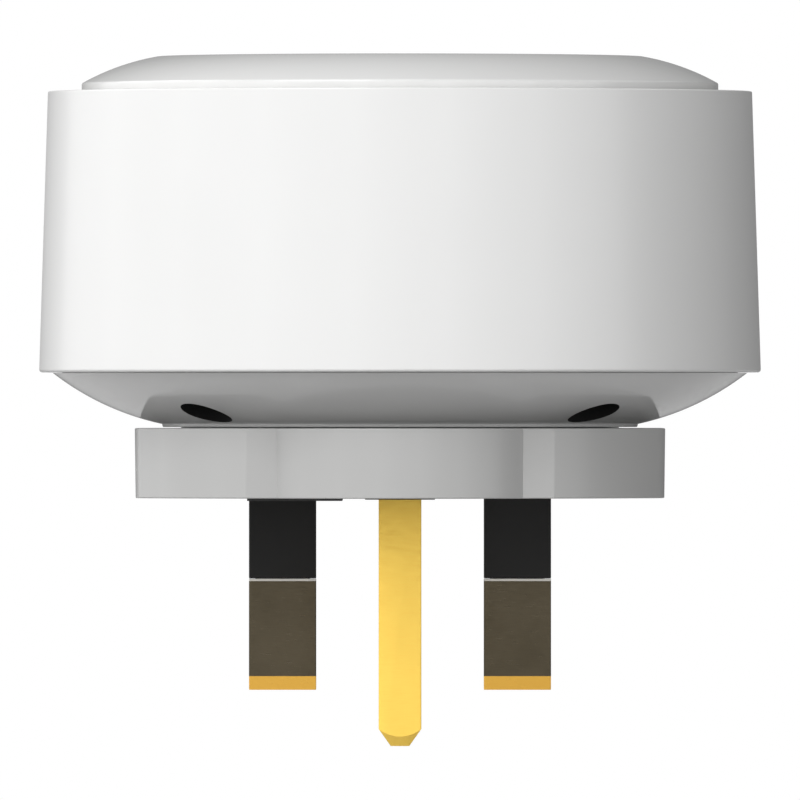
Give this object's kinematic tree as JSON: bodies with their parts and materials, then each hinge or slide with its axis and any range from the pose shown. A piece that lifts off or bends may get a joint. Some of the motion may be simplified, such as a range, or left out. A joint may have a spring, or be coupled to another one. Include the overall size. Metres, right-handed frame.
{
  "type": "plug in power meter",
  "caption": "Round white plug-in power meter with rectangular mains pins on the back, a matching shuttered socket in front and a push button.",
  "frame": {"origin": "centre of the plug plate's pin face, midway between the blade pins' line and the earth pin", "axes": "+Z out of the wall towards the socket face, -Y towards the earth pin, +X towards the neutral pin"},
  "size_m": [0.068, 0.068, 0.0648],
  "materials": {
    "shell_plastic": "high gloss moulding",
    "face_plastic": "gloss moulding",
    "cover_plastic": "gloss moulding",
    "plate_plastic": "satin gloss moulding",
    "button_plastic": "gloss moulding",
    "pin_brass": "drawn and polished",
    "sleeve_plastic": "fine matt",
    "carrier_plastic": "fine matt",
    "fuse_ceramic": "unglazed",
    "plated_metal": "tin plated",
    "contact_copper": "stamped strip",
    "contact_brass": "stamped strip",
    "inner_plastic": "moulded",
    "shutter_plastic": "moulded",
    "spring_steel": "drawn wire",
    "component_black": "moulded epoxy",
    "board_green": "solder mask on glass epoxy",
    "board_blue": "solder mask on glass epoxy",
    "capacitor_yellow": "moulded case",
    "capacitor_black": "shrink sleeve",
    "varistor_blue": "dipped epoxy",
    "resistor_green": "cement coat",
    "led_lens": "clear epoxy",
    "screw_steel": "zinc plated"
  },
  "bodies": {
    "housing": {"outer_shell": "shell_plastic", "front_panel": "face_plastic", "rear_cover": "cover_plastic", "plug_plate": "plate_plastic", "live_pin": "pin_brass", "neutral_pin": "pin_brass", "earth_pin": "pin_brass", "live_sleeve": "sleeve_plastic", "neutral_sleeve": "sleeve_plastic", "earth_pin_seal": "sleeve_plastic", "live_fuse_clip": "contact_copper", "load_fuse_clip": "contact_copper", "live_link": "contact_copper", "neutral_contact": "contact_brass", "live_contact": "contact_brass", "earth_contact": "contact_brass", "contact_housing": "inner_plastic", "shutter_spring": "spring_steel", "tact_switch": "component_black", "main_board": "board_green", "radio_board": "board_blue", "radio_shield": "plated_metal", "relay_case": "component_black", "relay_base": "component_black", "relay_coil": "contact_copper", "relay_yoke": "plated_metal", "relay_contact": "contact_copper", "filter_capacitor": "capacitor_yellow", "bulk_capacitor": "capacitor_black", "output_capacitor": "capacitor_black", "supply_choke": "component_black", "varistor": "varistor_blue", "fuse_resistor": "resistor_green", "current_shunt": "contact_copper", "metering_chip": "component_black", "bridge_rectifier": "component_black", "status_led": "led_lens", "housing_screw_1": "screw_steel", "housing_screw_2": "screw_steel", "housing_screw_3": "screw_steel", "housing_screw_4": "screw_steel"},
    "button": {"push_button": "button_plastic", "switch_plunger": "component_black"},
    "shutter": {"shutter": "shutter_plastic"},
    "fuse_drawer": {"fuse_carrier": "carrier_plastic", "fuse_tube": "fuse_ceramic", "fuse_cap_front": "plated_metal", "fuse_cap_back": "plated_metal"},
    "relay_armature": {"relay_armature": "plated_metal"}
  },
  "joints": [
    {"name": "button_press", "type": "slide", "parent": "housing", "child": "button", "axis": [0, 0, -1], "range_m": [0, 0.0004], "stiffness_N_per_m": 120, "springref_m": -0.0008},
    {"name": "shutter_slide", "type": "slide", "parent": "housing", "child": "shutter", "axis": [0, 1, 0], "range_m": [0, 0.0054], "stiffness_N_per_m": 100, "springref_m": -0.003, "deforming": ["shutter_spring"]},
    {"name": "fuse_drawer_pull", "type": "slide", "parent": "housing", "child": "fuse_drawer", "axis": [0, 0, -1], "range_m": [0, 0.01]},
    {"name": "relay_armature_pull", "type": "hinge", "parent": "housing", "child": "relay_armature", "pos_m": [0.0074, 0.0224, 0.0281], "axis": [0, -1, 0], "range_deg": [0, 4], "stiffness_Nm_per_rad": 0.002, "springref_deg": -5.73}
  ]
}
